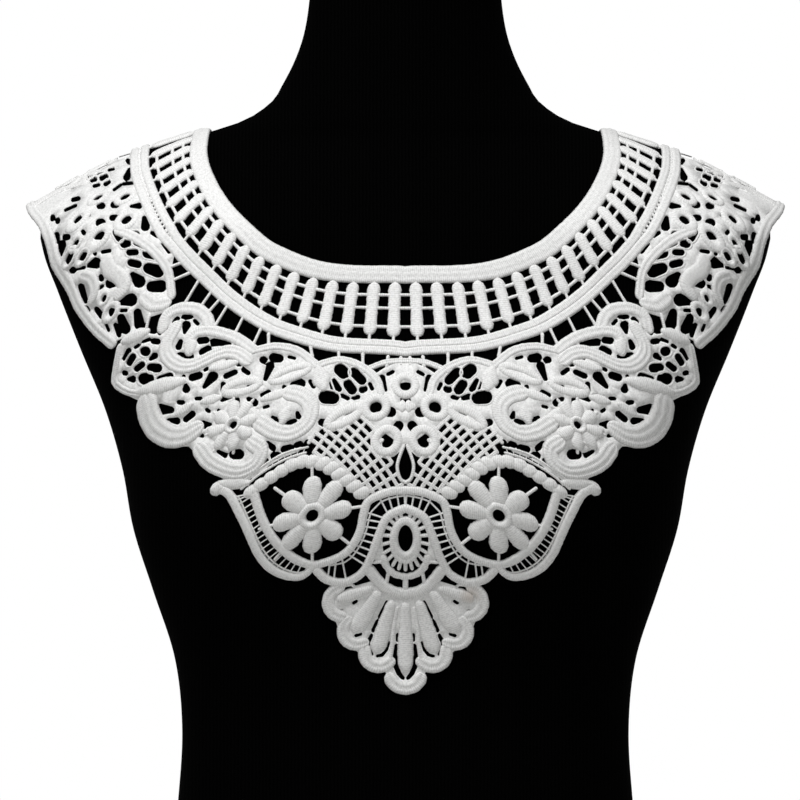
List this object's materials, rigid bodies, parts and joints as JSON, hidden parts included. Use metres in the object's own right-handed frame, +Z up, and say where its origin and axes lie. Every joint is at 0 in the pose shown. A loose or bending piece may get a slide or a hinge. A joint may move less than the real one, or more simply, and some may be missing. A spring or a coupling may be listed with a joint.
{
  "type": "lace collar on a limbless dress form",
  "caption": "Guipure lace collar with a neck band, a ladder of pegs and a floral yoke that ends in a fan, laid on a smooth torso form without arms, head or stand.",
  "frame": {"origin": "centre of the whole outline at the form's flat base", "axes": "+Z up along the form, +X to the wearer's left, the collar's front faces -Y"},
  "size_m": [0.4222, 0.2177, 0.559],
  "materials": {
    "white_thread": "matte",
    "black_cover": "matte"
  },
  "bodies": {
    "root": {"collar_left": "white_thread", "collar_right": "white_thread", "dress_form": "black_cover"}
  },
  "joints": []
}
